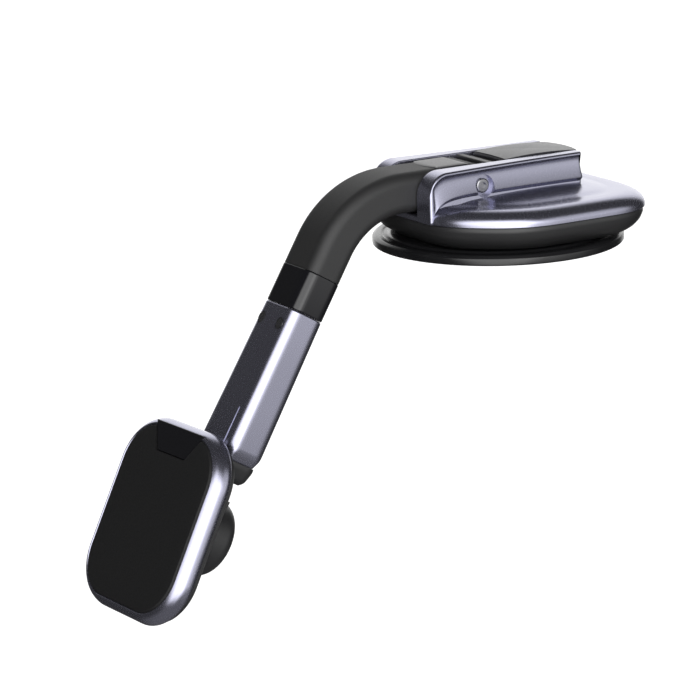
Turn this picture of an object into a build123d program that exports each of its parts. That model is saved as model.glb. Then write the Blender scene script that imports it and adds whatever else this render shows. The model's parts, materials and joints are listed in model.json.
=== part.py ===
"""Lever-lock suction mount for a car phone: base, curved arm, telescopic tube and magnetic head.

Frame: the origin is the centre of the suction cup's face, +Z points away from the surface that the
cup sticks to, the arm leaves towards -Y, and X is the axis that the arm tilts about. Millimetres.
"""

from build123d import *
from math import cos, radians, sin
import os

os.makedirs("parts", exist_ok=True)

# ---------------------------------------------------------------- driving dimensions
# Base
CUP_RADIUS = 36.0
CUP_RIM = 2.8
CUP_TOP = 3.2
CUP_BOSS_TOP = 5.2
SHELL_FLOOR = 3.6
PART_LINE = 10.5
DOME_TOP = 16.2
DOME_ROUND = 4.6
BOSS_TOP = 14.7
RAIL_TOP = 24.6
CHANNEL_HALF = 8.7
RAIL_FRONT = -32.0
RAIL_REAR = 20.5
CHANNEL_REAR = 9.5
FRONT_LIP = 12.2
CHEEK_FACE = 11.75

# Lock: the lever is pinned to the stem and its cam pulls the cup up against the base
LEVER_PIN_Z = 18.5
LEVER_PIN_RADIUS = 1.5
CAM_PLATE_TOP = 13.4
CAM_RUN = 2.0
LEVER_OPEN = 65.0
LEVER_FRONT = -5.6
LEVER_REAR = 21.6
LEVER_HALF = 8.3
STEM_RADIUS = 3.0
FLANGE_RADIUS = 8.0

# Arm
PIVOT_Y = -13.0
PIVOT_Z = 19.0
AXLE_RADIUS = 1.6
AXLE_HEAD = 2.3
AXLE_WELL = 3.2
BEND_START = -35.1
BEND_OUTER = 32.0
BEND_ANGLE = 59.0
NECK_TOP = 24.35
ARM_THICK = 11.5
ARM_WIDE = 16.6
NECK_END = 8.5
COLLAR_END = 20.0
TUBE_END = 64.4
BUSH_END = 69.0
TUBE_END_WIDE = 18.2
TUBE_END_THICK = 12.4
ROD_WIDE = 6.8
ROD_THICK = 4.2
RECESS_FLOOR = 5.45
FIT = 0.05

# Ball joint and head
BALL_AT = 86.8
BALL_RADIUS = 5.5
LINER_RADIUS = 6.5
STUD_RADIUS = 2.6
NUT_RADIUS = 10.4
HEAD_STANDOFF = 8.05
HEAD_YAW = 4.8
HEAD_PITCH = 26.9
HEAD_WIDE = 47.8
HEAD_TALL = 54.8
HEAD_DEEP = 8.1
HEAD_CORNER = 14.6
PAD_MARGIN = 2.7

# ---------------------------------------------------------------- frames of reference
BEND = radians(BEND_ANGLE)
BEND_CENTRE = (BEND_START, NECK_TOP - BEND_OUTER)
BEND_MID = BEND_OUTER - ARM_THICK / 2
ARM_DIR = Vector(0, -cos(BEND), -sin(BEND))
ARM_FRONT = Vector(0, -sin(BEND), cos(BEND))
ARM_START = Vector(0, BEND_CENTRE[0] - BEND_MID * sin(BEND), BEND_CENTRE[1] + BEND_MID * cos(BEND))


def across_arm(along: float) -> Plane:
    """Plane square to the straight arm, `along` mm down it, with its own Y towards the front."""
    return Plane(origin=ARM_START + ARM_DIR * along, x_dir=(1, 0, 0), z_dir=ARM_DIR)


def facing_arm(along: float, height: float) -> Plane:
    """Plane parallel to the arm's front face, `height` mm in front of its middle."""
    return Plane(origin=ARM_START + ARM_DIR * along + ARM_FRONT * height, x_dir=(1, 0, 0), z_dir=ARM_FRONT)


def ball_plane(height: float) -> Plane:
    """Plane through the ball joint, square to the socket's axis."""
    return facing_arm(BALL_AT, height)


YAW = radians(HEAD_YAW)
PITCH = radians(HEAD_PITCH)
HEAD_OUT = Vector(sin(YAW) * cos(PITCH), -cos(YAW) * cos(PITCH), sin(PITCH))
HEAD_SIDE = Vector(cos(YAW), sin(YAW), 0)
BALL_CENTRE = ARM_START + ARM_DIR * BALL_AT


def head_plane(depth: float) -> Plane:
    """Plane parallel to the phone plate, `depth` mm in front of its back."""
    return Plane(origin=BALL_CENTRE + HEAD_OUT * (HEAD_STANDOFF + depth), x_dir=HEAD_SIDE, z_dir=HEAD_OUT)


# ---------------------------------------------------------------- shared outlines
BASE_CENTRE_Y = 2.0
BASE_CORNERS = [(19.5, -32.6), (36.6, -14), (36.6, 20.5), (22.5, 37.2)]
BASE_ROUND = 25.0


def base_outline(height: float, scale: float) -> Sketch:
    """Rounded plan of the base, scaled about its middle and lifted to a height."""
    right = [(x * scale, BASE_CENTRE_Y + (y - BASE_CENTRE_Y) * scale) for x, y in BASE_CORNERS]
    left = [(-x, y) for x, y in reversed(right)]
    with BuildSketch(Plane.XY.offset(height)) as plan:
        with BuildLine():
            Polyline(*right, *left, close=True)
        make_face()
        fillet(plan.vertices(), BASE_ROUND * scale)
    return plan.sketch


def plate_outline(inset: float) -> Sketch:
    """Rounded rectangle of the head, drawn in by an even margin."""
    with BuildSketch() as plan:
        RectangleRounded(HEAD_WIDE - 2 * inset, HEAD_TALL - 2 * inset, HEAD_CORNER - inset)
    return plan.sketch


# ---------------------------------------------------------------- base: cup and shells
# Soft disc with a shallow hollow under it and a pocket moulded round the stem's flange.
with BuildPart() as cup:
    with BuildSketch(Plane.XZ):
        with BuildLine():
            Polyline((0, 1.4), (14, 1.2), (32.5, 0), (CUP_RADIUS, 0), (CUP_RADIUS, CUP_RIM), (30, CUP_TOP),
                     (15, CUP_TOP), (11, CUP_BOSS_TOP), (0, CUP_BOSS_TOP), (0, 1.4))
        make_face()
    revolve(axis=Axis.Z)
    with BuildSketch(Plane.XY.offset(2.2)):
        Circle(FLANGE_RADIUS + FIT)
    extrude(amount=1.8, mode=Mode.SUBTRACT)
    with BuildSketch(Plane.XY.offset(2.2)):
        Circle(STEM_RADIUS + FIT)
    extrude(amount=CUP_BOSS_TOP, mode=Mode.SUBTRACT)
cup.part.label = "suction_cup"
export_step(cup.part, "parts/suction_cup.step")

SCREW_PLACES = [(-22.5, -13.5), (22.5, -13.5), (-21, 21), (21, 21)]

# Black tray under the base, widening upwards to the joint with the upper shell.
with BuildPart() as lower:
    add(base_outline(SHELL_FLOOR, 0.87))
    add(base_outline(PART_LINE, 0.995))
    loft(ruled=True)
    add(base_outline(5.6, 0.84))
    extrude(amount=PART_LINE, mode=Mode.SUBTRACT)
    with BuildSketch(Plane.XY):
        Circle(15.5)
    extrude(amount=PART_LINE, mode=Mode.SUBTRACT)
    with BuildSketch(Plane.XY.offset(5.6)):
        with Locations(*SCREW_PLACES):
            Circle(3.4)
    extrude(amount=2.4)
    with BuildSketch(Plane.XY):
        with Locations(*SCREW_PLACES):
            Circle(1.6)
    extrude(amount=PART_LINE, mode=Mode.SUBTRACT)
    with BuildSketch(Plane.XY):
        with Locations(*SCREW_PLACES):
            Circle(2.9)
    extrude(amount=SHELL_FLOOR + 1.6, mode=Mode.SUBTRACT)
lower.part.label = "lower_shell"
export_step(lower.part, "parts/lower_shell.step")

RAIL_SIDE = [(CHANNEL_HALF, RAIL_FRONT), (15.6, RAIL_FRONT), (15.4, -26), (14.6, -12), (13.4, 6), (12.8, RAIL_REAR),
             (CHANNEL_HALF, RAIL_REAR + 0.8)]

# Domed cover with the two cheeks that hold the arm and shelter the lever.
with BuildPart() as upper:
    add(base_outline(PART_LINE, 1.0))
    extrude(amount=DOME_TOP - PART_LINE)
    fillet(upper.faces().sort_by(Axis.Z)[-1].edges(), DOME_ROUND)
    with BuildSketch(Plane.XY.offset(PART_LINE)):
        with BuildLine():
            Polyline(*RAIL_SIDE, close=True)
        make_face()
        mirror(about=Plane.YZ)
    extrude(amount=RAIL_TOP - PART_LINE)
    front_top = upper.edges().filter_by(Axis.X).filter_by(lambda edge: edge.center().Z > RAIL_TOP - 0.01)
    fillet(front_top.filter_by(lambda edge: edge.center().Y < RAIL_FRONT + 0.01), 6.0)
    add(base_outline(PART_LINE, 0.93))
    extrude(amount=3.8, mode=Mode.SUBTRACT)
    with BuildSketch(Plane.XY.offset(FRONT_LIP)):
        with Locations((0, (RAIL_FRONT - 10 + CHANNEL_REAR) / 2)):
            Rectangle(2 * CHANNEL_HALF, CHANNEL_REAR - RAIL_FRONT + 10)
    extrude(amount=RAIL_TOP, mode=Mode.SUBTRACT)
    with BuildSketch(Plane.XY.offset(PART_LINE)):
        with Locations(*SCREW_PLACES):
            Circle(3.2)
    extrude(amount=BOSS_TOP - PART_LINE)
    with BuildSketch(Plane.XY.offset(PART_LINE)):
        with Locations(*SCREW_PLACES):
            Circle(1.25)
    extrude(amount=BOSS_TOP - PART_LINE - 1, mode=Mode.SUBTRACT)
    with BuildSketch(Plane.YZ):
        with Locations((PIVOT_Y, PIVOT_Z)):
            Circle(AXLE_RADIUS + FIT)
    extrude(amount=CHEEK_FACE + 0.2, both=True, mode=Mode.SUBTRACT)
    for side in (-1, 1):
        with BuildSketch(Plane(origin=(side * CHEEK_FACE, PIVOT_Y, PIVOT_Z), x_dir=(0, 1, 0), z_dir=(side, 0, 0))):
            Circle(AXLE_WELL)
        extrude(amount=5.0, mode=Mode.SUBTRACT)
upper.part.label = "upper_shell"
export_step(upper.part, "parts/upper_shell.step")

CAM_PLATE_LONG = 11.6
CAM_PLATE_MID = 1.4

# Inner frame: a plate on the tray's floor with the stem's guide tube and the cam plate's seat.
with BuildPart() as chassis:
    add(base_outline(5.65, 0.5))
    extrude(amount=2.0)
    with BuildSketch(Plane.XY.offset(5.65)):
        Circle(8.0)
    extrude(amount=11.6 - 5.65)
    with BuildSketch(Plane.XY.offset(PART_LINE)):
        with Locations((0, CAM_PLATE_MID)):
            Rectangle(2 * CHANNEL_HALF - 0.4, CAM_PLATE_LONG)
    extrude(amount=CAM_PLATE_TOP - 0.8 - PART_LINE)
    with BuildSketch(Plane.XY):
        Circle(5.9)
    extrude(amount=10.4, mode=Mode.SUBTRACT)
    with BuildSketch(Plane.XY):
        Circle(STEM_RADIUS + FIT)
    extrude(amount=20, mode=Mode.SUBTRACT)
chassis.part.label = "chassis"
export_step(chassis.part, "parts/chassis.step")

# Hard wear plate that the lever's cam slides on.
with BuildPart() as cam_plate:
    with BuildSketch(Plane.XY.offset(CAM_PLATE_TOP - 0.8)):
        with Locations((0, CAM_PLATE_MID)):
            RectangleRounded(2 * CHANNEL_HALF - 0.6, CAM_PLATE_LONG - 0.2, 1.2)
        Circle(STEM_RADIUS + 0.3, mode=Mode.SUBTRACT)
    extrude(amount=0.8)
cam_plate.part.label = "cam_plate"
export_step(cam_plate.part, "parts/cam_plate.step")

# Four screws from below, through the tray and up into the upper shell's bosses.
with BuildPart() as base_screws:
    with BuildSketch(Plane.XY.offset(SHELL_FLOOR + 0.3)):
        with Locations(*SCREW_PLACES):
            Circle(2.7)
    extrude(amount=1.25)
    with BuildSketch(Plane.XY.offset(SHELL_FLOOR + 1.5)):
        with Locations(*SCREW_PLACES):
            Circle(1.2)
    extrude(amount=8.3)
base_screws.part.label = "base_screws"
export_step(base_screws.part, "parts/base_screws.step")

# ---------------------------------------------------------------- base: stem, lever and arm axle
# Stem: a flange held in the cup, a round shaft and a flat eye for the lever's pin.
with BuildPart() as stem:
    with BuildSketch(Plane.XY.offset(2.25)):
        Circle(FLANGE_RADIUS)
    extrude(amount=1.7)
    with BuildSketch(Plane.XY.offset(2.25)):
        Circle(STEM_RADIUS)
    extrude(amount=14.0)
    with BuildSketch(Plane.YZ):
        with Locations((0, LEVER_PIN_Z)):
            Circle(2.6)
        with Locations((0, LEVER_PIN_Z - 1.75)):
            Rectangle(4.4, 3.5)
    extrude(amount=2.2, both=True)
    with BuildSketch(Plane.YZ):
        with Locations((0, LEVER_PIN_Z)):
            Circle(LEVER_PIN_RADIUS + FIT)
    extrude(amount=5, both=True, mode=Mode.SUBTRACT)
stem.part.label = "cup_stem"
export_step(stem.part, "parts/cup_stem.step")

with BuildPart() as pin:
    with BuildSketch(Plane.YZ):
        with Locations((0, LEVER_PIN_Z)):
            Circle(LEVER_PIN_RADIUS)
    extrude(amount=7.4, both=True)
pin.part.label = "lever_pin"
export_step(pin.part, "parts/lever_pin.step")

# Return spring round the stem: it pushes the cup back down when the lever is opened.
SPRING_WIRE = 0.45
with BuildPart() as spring:
    with BuildLine() as coil:
        Helix(pitch=1.2, height=4.1, radius=4.6, center=(0, 0, CUP_BOSS_TOP + 0.5))
    with BuildSketch(Plane(origin=coil.line @ 0, z_dir=coil.line % 0)):
        Circle(SPRING_WIRE)
    sweep(path=coil.line)
spring.part.label = "return_spring"
export_step(spring.part, "parts/return_spring.step")


def cam_edge(opening: float) -> tuple:
    """Point of the cam that bears on the plate when the lever is open by `opening` degrees.

    The pin's height above the plate falls evenly with the angle, so the edge is the curve whose
    support distance is that height: height times the contact direction, less the fall times its tangent.
    """
    angle = radians(opening)
    fall = CAM_RUN / radians(LEVER_OPEN)
    reach = LEVER_PIN_Z - CAM_PLATE_TOP - FIT - fall * angle
    return (fall * cos(angle) - reach * sin(angle), LEVER_PIN_Z - fall * sin(angle) - reach * cos(angle))


LEVER_TOP = 23.4
LEVER_UNDER = 21.6

# Lever: a top plate with a front lip, a finger lip at the rear and two cam cheeks round the pin.
with BuildPart() as lever:
    with BuildSketch(Plane.YZ):
        with BuildLine():
            Polyline((LEVER_FRONT, LEVER_UNDER), (LEVER_FRONT + 0.9, LEVER_TOP), (LEVER_REAR - 1.2, LEVER_TOP),
                     (LEVER_REAR, LEVER_TOP - 0.6), (LEVER_REAR, 19.6), (LEVER_REAR - 1.6, 19.6),
                     (LEVER_REAR - 3.2, LEVER_UNDER), close=True)
        make_face()
    extrude(amount=LEVER_HALF, both=True)
    with BuildSketch(Plane.YZ.offset(STEM_RADIUS + 0.15)):
        with BuildLine():
            Spline(*[cam_edge(step * LEVER_OPEN / 4) for step in range(5)])
            Polyline(cam_edge(LEVER_OPEN), (-3.2, LEVER_PIN_Z), (-4.2, LEVER_PIN_Z + 2.6), (-4.2, LEVER_UNDER + 0.5),
                     (5.2, LEVER_UNDER + 0.5), (4.8, 15.6), cam_edge(0))
        make_face()
    extrude(amount=4.0)
    mirror(about=Plane.YZ)
    with BuildSketch(Plane.YZ):
        with Locations((0, LEVER_PIN_Z)):
            Circle(LEVER_PIN_RADIUS + FIT)
    extrude(amount=12, both=True, mode=Mode.SUBTRACT)
lever.part.label = "lock_lever"
export_step(lever.part, "parts/lock_lever.step")

# Crowned cover plate clipped on top of the lever.
COVER_FRONT = -3.2
COVER_CROWN = 25.25
with BuildPart() as cover:
    with BuildSketch(Plane.YZ):
        with BuildLine():
            Polyline((COVER_FRONT, LEVER_TOP + 0.02), (COVER_FRONT, 24.35))
            ThreePointArc((COVER_FRONT, 24.35), (9, COVER_CROWN), (LEVER_REAR - 0.4, 24.3))
            Polyline((LEVER_REAR - 0.4, 24.3), (LEVER_REAR - 1.3, LEVER_TOP + 0.02), (COVER_FRONT, LEVER_TOP + 0.02))
        make_face()
    extrude(amount=LEVER_HALF - 0.3, both=True)
cover.part.label = "lever_cover"
export_step(cover.part, "parts/lever_cover.step")

# Small bar across the channel, between the neck's eye and the lever's front.
with BuildPart() as bridge:
    with BuildSketch(Plane.YZ):
        with Locations((-6.95, 23.4)):
            RectangleRounded(2.4, 1.6, 0.5)
    extrude(amount=CHANNEL_HALF - FIT, both=True)
bridge.part.label = "bridge"
export_step(bridge.part, "parts/bridge.step")

# Axle of the arm: a headed bolt from one cheek and a cap nut in the other.
with BuildPart() as bolt:
    with BuildSketch(Plane.YZ.offset(0.1 - CHEEK_FACE)):
        with Locations((PIVOT_Y, PIVOT_Z)):
            Circle(AXLE_RADIUS)
    extrude(amount=2 * CHEEK_FACE)
    with BuildSketch(Plane.YZ.offset(CHEEK_FACE + FIT)):
        with Locations((PIVOT_Y, PIVOT_Z)):
            Circle(AXLE_HEAD)
    extrude(amount=1.5)
    with BuildSketch(Plane.YZ.offset(CHEEK_FACE + 0.7)):
        with Locations((PIVOT_Y, PIVOT_Z)):
            RegularPolygon(1.2, 6)
    extrude(amount=1.0, mode=Mode.SUBTRACT)
bolt.part.label = "pivot_bolt"
export_step(bolt.part, "parts/pivot_bolt.step")

with BuildPart() as bolt_nut:
    with BuildSketch(Plane.YZ.offset(-CHEEK_FACE - FIT)):
        with Locations((PIVOT_Y, PIVOT_Z)):
            RegularPolygon(2.9, 6)
    extrude(amount=-1.55)
bolt_nut.part.label = "pivot_nut"
export_step(bolt_nut.part, "parts/pivot_nut.step")

# ---------------------------------------------------------------- arm: neck and its trim
CAP_FRONT = -25.5
CAP_DEEP = 1.2
BEND_INNER = BEND_OUTER - ARM_THICK
NECK_BOTTOM = NECK_TOP - ARM_THICK
NECK_AXIS_Z = NECK_TOP - ARM_THICK / 2
OUTER_END = (BEND_CENTRE[0] - BEND_OUTER * sin(BEND), BEND_CENTRE[1] + BEND_OUTER * cos(BEND))
INNER_END = (BEND_CENTRE[0] - BEND_INNER * sin(BEND), BEND_CENTRE[1] + BEND_INNER * cos(BEND))
TIP_OUTER = (OUTER_END[0] - NECK_END * cos(BEND), OUTER_END[1] - NECK_END * sin(BEND))
TIP_INNER = (INNER_END[0] - NECK_END * cos(BEND), INNER_END[1] - NECK_END * sin(BEND))

# Neck: an eye at the axle, a level run, a bend and a short run down to the collar.
with BuildPart() as neck:
    with BuildSketch(Plane.YZ):
        with BuildLine():
            Line((PIVOT_Y, NECK_TOP), (BEND_START, NECK_TOP))
            CenterArc(BEND_CENTRE, BEND_OUTER, 90, BEND_ANGLE)
            Polyline(OUTER_END, TIP_OUTER, TIP_INNER, INNER_END)
            CenterArc(BEND_CENTRE, BEND_INNER, 90, BEND_ANGLE)
            Line((BEND_START, NECK_BOTTOM), (PIVOT_Y, NECK_BOTTOM))
            ThreePointArc((PIVOT_Y, NECK_BOTTOM), (PIVOT_Y + ARM_THICK / 2, NECK_AXIS_Z), (PIVOT_Y, NECK_TOP))
        make_face()
    extrude(amount=ARM_WIDE / 2, both=True)
    long_edges = [
        edge
        for edge in neck.edges()
        if abs(abs(edge.center().X) - ARM_WIDE / 2) < 0.01
        and (edge.center() - ARM_START).dot(ARM_DIR) < NECK_END - 0.1
        and edge.center().Y < PIVOT_Y - 0.1
    ]
    fillet(long_edges, 3.2)
    with BuildSketch(across_arm(NECK_END)):
        RectangleRounded(13.4, 8.2, 1.5)
    extrude(amount=21.5)
    with BuildSketch(facing_arm(25.0, 1.5)):
        with Locations((-4.8, 0), (4.8, 0)):
            Circle(1.0)
    extrude(amount=5, mode=Mode.SUBTRACT)
    with BuildSketch(Plane.YZ):
        with Locations((PIVOT_Y, PIVOT_Z)):
            Circle(AXLE_RADIUS + FIT)
    extrude(amount=12, both=True, mode=Mode.SUBTRACT)
    for side in (-1, 1):
        with BuildSketch(Plane.YZ.offset(side * (ARM_WIDE / 2 - 0.4))):
            with Locations((PIVOT_Y, PIVOT_Z)):
                Circle(5.0)
        extrude(amount=side * 2, mode=Mode.SUBTRACT)
    with BuildSketch(Plane.XY.offset(NECK_TOP - CAP_DEEP)):
        with Locations(((0, (CAP_FRONT + PIVOT_Y - 1) / 2))):
            Rectangle(12.0, PIVOT_Y - 1 - CAP_FRONT)
    extrude(amount=5, mode=Mode.SUBTRACT)
neck.part.label = "neck"
export_step(neck.part, "parts/neck.step")

with BuildPart() as neck_cap:
    with BuildSketch(Plane.XY.offset(NECK_TOP - CAP_DEEP + 0.02)):
        with Locations(((0, (CAP_FRONT + PIVOT_Y - 1) / 2))):
            Rectangle(11.9, PIVOT_Y - 1 - CAP_FRONT - 0.1)
    extrude(amount=CAP_DEEP)
neck_cap.part.label = "neck_cap"
export_step(neck_cap.part, "parts/neck_cap.step")

# Fibre washers that give the arm its stiff, holding motion.
with BuildPart() as washers:
    for side in (-1, 1):
        with BuildSketch(Plane.YZ.offset(side * (ARM_WIDE / 2 - 0.38))):
            with Locations((PIVOT_Y, PIVOT_Z)):
                Circle(4.9)
                Circle(AXLE_RADIUS + FIT, mode=Mode.SUBTRACT)
        extrude(amount=side * 0.72)
washers.part.label = "friction_washers"
export_step(washers.part, "parts/friction_washers.step")

# Glossy collar between the neck and the tube.
with BuildPart() as collar:
    with BuildSketch(across_arm(NECK_END + 0.05)):
        RectangleRounded(ARM_WIDE + 0.2, ARM_THICK + 0.1, 3.2)
        RectangleRounded(13.5, 8.3, 1.5, mode=Mode.SUBTRACT)
    extrude(amount=COLLAR_END - NECK_END - 0.1)
collar.part.label = "collar"
export_step(collar.part, "parts/collar.step")

# ---------------------------------------------------------------- arm: telescopic tube
# Metal tube, a little larger at its lower end, with a shallow round-topped recess in its face.
with BuildPart() as tube:
    with BuildSketch(across_arm(COLLAR_END)):
        RectangleRounded(ARM_WIDE + 0.2, ARM_THICK + 0.1, 3.2)
    with BuildSketch(across_arm(TUBE_END)):
        RectangleRounded(TUBE_END_WIDE, TUBE_END_THICK, 3.4)
    loft()
    with BuildSketch(across_arm(COLLAR_END - 0.1)):
        RectangleRounded(14.0, 8.7, 1.8)
    extrude(amount=TUBE_END, mode=Mode.SUBTRACT)
    with BuildSketch(facing_arm(48.6, RECESS_FLOOR)):
        with Locations((0, -1)):
            Circle(3.2)
        with Locations((0, -13)):
            Rectangle(6.4, 24)
    extrude(amount=8, mode=Mode.SUBTRACT)
    with BuildSketch(facing_arm(25.0, 1.5)):
        with Locations((-4.8, 0), (4.8, 0)):
            Circle(1.0)
    extrude(amount=10, mode=Mode.SUBTRACT)
    with BuildSketch(facing_arm(25.0, 5.3)):
        with Locations((-4.8, 0), (4.8, 0)):
            Circle(1.75)
    extrude(amount=10, mode=Mode.SUBTRACT)
tube.part.label = "tube"
export_step(tube.part, "parts/tube.step")

with BuildPart() as tube_screws:
    with BuildSketch(facing_arm(25.0, 1.6)):
        with Locations((-4.8, 0), (4.8, 0)):
            Circle(0.95)
    extrude(amount=3.8)
    with BuildSketch(facing_arm(25.0, 5.32)):
        with Locations((-4.8, 0), (4.8, 0)):
            Circle(1.65)
    extrude(amount=0.45)
tube_screws.part.label = "tube_screws"
export_step(tube_screws.part, "parts/tube_screws.step")

# End bush: plugs the tube, guides the rod and shows as a rounded black end.
with BuildPart() as bush:
    with BuildSketch(across_arm(TUBE_END + 0.05)):
        RectangleRounded(TUBE_END_WIDE - 1.0, TUBE_END_THICK - 1.0, 3.2)
    extrude(amount=BUSH_END - TUBE_END)
    fillet(bush.faces().sort_by(Axis((0, 0, 0), tuple(ARM_DIR)))[-1].edges(), 3.0)
    with BuildSketch(across_arm(58.0)):
        RectangleRounded(13.9, 8.6, 1.7)
    extrude(amount=TUBE_END + 0.1 - 58.0)
    with BuildSketch(across_arm(57.0)):
        RectangleRounded(ROD_WIDE + 2 * FIT, ROD_THICK + 2 * FIT, 1.0)
    extrude(amount=20, mode=Mode.SUBTRACT)
    with BuildSketch(facing_arm(60.0, -4.6)):
        Rectangle(5.0, 3.0)
    extrude(amount=3, mode=Mode.SUBTRACT)
bush.part.label = "tube_bush"
export_step(bush.part, "parts/tube_bush.step")

# Spring pad in the bush that presses on the back of the rod, so that it stays where it is set.
with BuildPart() as brake:
    with BuildSketch(facing_arm(60.0, -4.25)):
        Rectangle(4.9, 2.9)
    extrude(amount=4.25 - ROD_THICK / 2 - 0.03)
brake.part.label = "brake_pad"
export_step(brake.part, "parts/brake_pad.step")

# ---------------------------------------------------------------- sliding rod and ball socket
ROD_TOP = 33.0
ROD_FOOT = 75.4
SOCKET_NECK = (8.6, 6.6)
NECK_SCREW_AT = 73.2

with BuildPart() as rod:
    with BuildSketch(across_arm(ROD_TOP)):
        RectangleRounded(ROD_WIDE, ROD_THICK, 0.95)
    extrude(amount=ROD_FOOT - ROD_TOP)
    with BuildSketch(facing_arm(NECK_SCREW_AT, -5)):
        Circle(0.85)
    extrude(amount=10, mode=Mode.SUBTRACT)
rod.part.label = "inner_rod"
export_step(rod.part, "parts/inner_rod.step")

# Guide shoe at the rod's hidden end, which runs in the tube and stops against the bush.
with BuildPart() as shoe:
    with BuildSketch(across_arm(31.5)):
        RectangleRounded(13.8, 8.5, 1.7)
    extrude(amount=6.5)
    with BuildSketch(across_arm(ROD_TOP)):
        RectangleRounded(ROD_WIDE + 0.04, ROD_THICK + 0.04, 0.95)
    extrude(amount=20, mode=Mode.SUBTRACT)
shoe.part.label = "rod_shoe"
export_step(shoe.part, "parts/rod_shoe.step")

# Socket: a drum with a round pocket, a thread for the nut and a neck moulded round the rod.
with BuildPart() as socket:
    with BuildSketch(ball_plane(-8.0)):
        Circle(11.0)
    extrude(amount=7.4)
    fillet(socket.faces().sort_by(Axis((0, 0, 0), tuple(ARM_FRONT)))[0].edges(), 3.6)
    with BuildSketch(ball_plane(-1.0)):
        Circle(8.75)
    extrude(amount=3.2)
    with BuildSketch(across_arm(70.4)):
        RectangleRounded(*SOCKET_NECK, 1.8)
    extrude(amount=5.6)
    with BuildSketch(facing_arm(78.2, -4.4)):
        Rectangle(SOCKET_NECK[0], 6.0)
    extrude(amount=3.5)
    with BuildSketch(across_arm(70.0)):
        RectangleRounded(ROD_WIDE + 0.04, ROD_THICK + 0.04, 0.95)
    extrude(amount=ROD_FOOT - 70.0 + 0.02, mode=Mode.SUBTRACT)
    with BuildSketch(facing_arm(NECK_SCREW_AT, -7)):
        Circle(0.85)
    extrude(amount=9.6, mode=Mode.SUBTRACT)
    with BuildSketch(facing_arm(NECK_SCREW_AT, -7)):
        Circle(1.6)
    extrude(amount=4.35, mode=Mode.SUBTRACT)
    with Locations(ball_plane(0)):
        Sphere(LINER_RADIUS + FIT, mode=Mode.SUBTRACT)
socket.part.label = "ball_socket"
export_step(socket.part, "parts/ball_socket.step")

with BuildPart() as socket_screw:
    with BuildSketch(facing_arm(NECK_SCREW_AT, -3.25)):
        Circle(1.5)
    extrude(amount=0.58)
    with BuildSketch(facing_arm(NECK_SCREW_AT, -2.7)):
        Circle(0.8)
    extrude(amount=5.2)
socket_screw.part.label = "socket_screw"
export_step(socket_screw.part, "parts/socket_screw.step")

# Ring nut with grip ribs: it presses the liner on to the ball.
GRIP_RIBS = 24
with BuildPart() as nut:
    with BuildSketch(ball_plane(-0.5)):
        Circle(NUT_RADIUS)
    extrude(amount=5.1)
    chamfer(nut.faces().sort_by(Axis((0, 0, 0), tuple(ARM_FRONT)))[-1].edges(), 1.4)
    with BuildSketch(ball_plane(-0.5)):
        Circle(8.8)
    extrude(amount=2.9, mode=Mode.SUBTRACT)
    with Locations(ball_plane(0)):
        Sphere(LINER_RADIUS + FIT, mode=Mode.SUBTRACT)
    with BuildSketch(ball_plane(3.2)):
        Circle(5.0)
    extrude(amount=5, mode=Mode.SUBTRACT)
    with BuildSketch(ball_plane(-1)):
        with PolarLocations(NUT_RADIUS + 0.35, GRIP_RIBS):
            Circle(0.75)
    extrude(amount=8, mode=Mode.SUBTRACT)
nut.part.label = "ring_nut"
export_step(nut.part, "parts/ring_nut.step")

# Nylon liner: a thin ball-shaped cup between the ball and its socket.
with BuildPart() as liner:
    with Locations(ball_plane(0)):
        Sphere(LINER_RADIUS)
        Sphere(BALL_RADIUS + FIT, mode=Mode.SUBTRACT)
    with BuildSketch(ball_plane(2.8)):
        Circle(12)
    extrude(amount=10, mode=Mode.SUBTRACT)
liner.part.label = "ball_liner"
export_step(liner.part, "parts/ball_liner.step")

# Ball stud, with a flange that turns in the head's back.
with BuildPart() as stud:
    with Locations(head_plane(-HEAD_STANDOFF)):
        Sphere(BALL_RADIUS)
    with BuildSketch(head_plane(-HEAD_STANDOFF + 3)):
        Circle(STUD_RADIUS)
    extrude(amount=HEAD_STANDOFF - 3 + 2.2)
    with BuildSketch(head_plane(2.1)):
        Circle(4.6)
    extrude(amount=1.2)
stud.part.label = "ball_stud"
export_step(stud.part, "parts/ball_stud.step")

# ---------------------------------------------------------------- head
HEAD_SCREWS = [(-15, -17), (15, -17), (-15, 17), (15, 17)]
MAGNETS = [(-10.5, -9), (10.5, -9), (-10.5, 9), (10.5, 9)]

with BuildPart() as back:
    with BuildSketch(head_plane(0)):
        add(plate_outline(1.6))
    extrude(amount=1.9)
    chamfer(back.faces().sort_by(Axis((0, 0, 0), tuple(HEAD_OUT)))[0].edges(), 0.7)
    with BuildSketch(head_plane(-1)):
        Circle(STUD_RADIUS + FIT)
        with Locations(*HEAD_SCREWS):
            Circle(2.1)
    extrude(amount=5, mode=Mode.SUBTRACT)
back.part.label = "back_cover"
export_step(back.part, "parts/back_cover.step")

# Metal rim of the head.
with BuildPart() as rim:
    with BuildSketch(head_plane(1.95)):
        add(plate_outline(0))
    extrude(amount=5.6)
    fillet(rim.faces().sort_by(Axis((0, 0, 0), tuple(HEAD_OUT)))[-1].edges(), 2.0)
    chamfer(rim.faces().sort_by(Axis((0, 0, 0), tuple(HEAD_OUT)))[0].edges(), 0.8)
    with BuildSketch(head_plane(0)):
        add(plate_outline(PAD_MARGIN))
    extrude(amount=10, mode=Mode.SUBTRACT)
rim.part.label = "head_rim"
export_step(rim.part, "parts/head_rim.step")

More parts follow.
